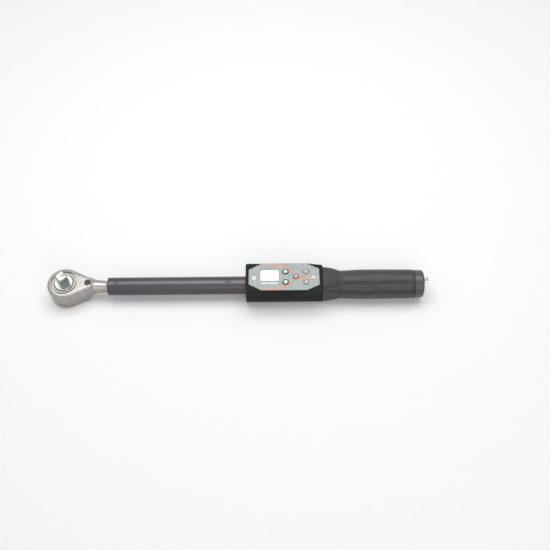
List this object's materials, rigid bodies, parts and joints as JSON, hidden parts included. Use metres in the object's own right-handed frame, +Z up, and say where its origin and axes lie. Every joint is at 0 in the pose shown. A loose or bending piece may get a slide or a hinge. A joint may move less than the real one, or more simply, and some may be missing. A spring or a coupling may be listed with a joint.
{
  "type": "digital torque wrench",
  "caption": "Electronic torque wrench: reversible ratchet head with a half-inch square drive, steel tube, display housing with keypad, contoured grip and screwed battery cap.",
  "frame": {"origin": "where the axis of the square drive meets the flat underside of the head, in the plane that the wrench rests on", "axes": "+X from the drive to the end cap, +Z up out of the display and along the square drive, +Y to the left of the display seen from the head"},
  "size_m": [0.5143, 0.0456, 0.048],
  "materials": {
    "forged_steel": "satin forged, fine blast texture",
    "polished_steel": "polished",
    "ground_steel": "ground",
    "spring_steel": "oiled spring steel",
    "hardened_steel": "hardened",
    "blued_steel": "satin dark coating",
    "black_plastic": "fine texture",
    "grip_rubber": "satin with a fine pattern",
    "seal_rubber": "matt",
    "plate_aluminium": "fine satin",
    "silver_plastic": "satin",
    "clear_window": "clear",
    "display_glass": "lit display",
    "board_laminate": "solder mask",
    "pale_silicone": "matt",
    "nickel_plate": "nickel plated",
    "key_rubber": "satin",
    "key_red_rubber": "satin",
    "gauge_foil": "polyimide foil",
    "wire_sheath": "matt",
    "zinc_screw": "zinc plated",
    "cell_wrap": "plain wrap"
  },
  "bodies": {
    "wrench": {"ratchet_head": "forged_steel", "cover_plate": "ground_steel", "retaining_ring": "spring_steel", "pawl_pin": "hardened_steel", "main_tube": "blued_steel", "head_pin": "hardened_steel", "beam_pin": "hardened_steel", "measuring_beam": "forged_steel", "strain_gauge_left": "gauge_foil", "strain_gauge_right": "gauge_foil", "wire_loom": "wire_sheath", "housing_lower": "black_plastic", "housing_upper": "black_plastic", "housing_seal_left": "seal_rubber", "housing_seal_right": "seal_rubber", "housing_screw_1": "zinc_screw", "housing_screw_2": "zinc_screw", "housing_screw_3": "zinc_screw", "housing_screw_4": "zinc_screw", "faceplate": "plate_aluminium", "emblem_disc": "silver_plastic", "screen_window": "clear_window", "display_module": "display_glass", "circuit_board": "board_laminate", "keypad_mat": "pale_silicone", "data_socket": "nickel_plate", "grip_sleeve": "grip_rubber", "battery_carrier": "black_plastic", "battery_contact": "nickel_plate", "battery_cell_1": "cell_wrap", "battery_cell_2": "cell_wrap"},
    "drive": {"drive_square": "polished_steel"},
    "drive_ball": {"drive_ball": "polished_steel"},
    "selector": {"selector": "ground_steel", "selector_plunger": "hardened_steel", "selector_spring": "spring_steel"},
    "pawl": {"pawl": "hardened_steel"},
    "cap_ring": {"cap_ring": "seal_rubber"},
    "end_cap": {"end_cap": "black_plastic", "cap_stud": "polished_steel", "battery_spring": "spring_steel"},
    "button_up": {"button_up": "key_rubber"},
    "button_down": {"button_down": "key_rubber"},
    "button_enter": {"button_enter": "key_red_rubber"},
    "button_menu": {"button_menu": "key_rubber"},
    "button_clear": {"button_clear": "key_rubber"},
    "button_power": {"button_power": "key_rubber"}
  },
  "joints": [
    {"name": "drive_spin", "type": "hinge", "parent": "wrench", "child": "drive", "pos_m": [0, 0, 0.02], "axis": [0, 0, 1], "continuous": true},
    {"name": "drive_ball_press", "type": "slide", "parent": "drive", "child": "drive_ball", "axis": [0.7547, 0.6561, 0], "range_m": [0, 0.001], "stiffness_N_per_m": 1500, "springref_m": -0.0004},
    {"name": "selector_turn", "type": "hinge", "parent": "wrench", "child": "selector", "pos_m": [0.0323, 0, 0.02], "axis": [0, 0, 1], "range_deg": [-25, 25]},
    {"name": "pawl_rock", "type": "hinge", "parent": "wrench", "child": "pawl", "pos_m": [0.021, 0, 0.0142], "axis": [0, 0, 1], "range_deg": [-8, 8]},
    {"name": "cap_turn", "type": "hinge", "parent": "cap_ring", "child": "end_cap", "pos_m": [0.4728, 0, 0.0195], "axis": [1, 0, 0], "range_deg": [0, 1080]},
    {"name": "cap_slide", "type": "slide", "parent": "wrench", "child": "cap_ring", "axis": [1, 0, 0], "range_m": [0, 0.0045]},
    {"name": "button_up_press", "type": "slide", "parent": "wrench", "child": "button_up", "axis": [0, 0, -1], "range_m": [0, 0.0008], "stiffness_N_per_m": 1200, "springref_m": -0.0004},
    {"name": "button_down_press", "type": "slide", "parent": "wrench", "child": "button_down", "axis": [0, 0, -1], "range_m": [0, 0.0008], "stiffness_N_per_m": 1200, "springref_m": -0.0004},
    {"name": "button_enter_press", "type": "slide", "parent": "wrench", "child": "button_enter", "axis": [0, 0, -1], "range_m": [0, 0.0008], "stiffness_N_per_m": 1200, "springref_m": -0.0004},
    {"name": "button_menu_press", "type": "slide", "parent": "wrench", "child": "button_menu", "axis": [0, 0, -1], "range_m": [0, 0.0008], "stiffness_N_per_m": 1200, "springref_m": -0.0004},
    {"name": "button_clear_press", "type": "slide", "parent": "wrench", "child": "button_clear", "axis": [0, 0, -1], "range_m": [0, 0.0008], "stiffness_N_per_m": 1200, "springref_m": -0.0004},
    {"name": "button_power_press", "type": "slide", "parent": "wrench", "child": "button_power", "axis": [0, 0, -1], "range_m": [0, 0.0008], "stiffness_N_per_m": 1200, "springref_m": -0.0004}
  ],
  "couplings": [
    {"joint": "pawl_rock", "follows": "selector_turn", "ratio": -0.32},
    {"joint": "cap_turn", "follows": "cap_slide", "rad_per_m": 4188.8}
  ]
}
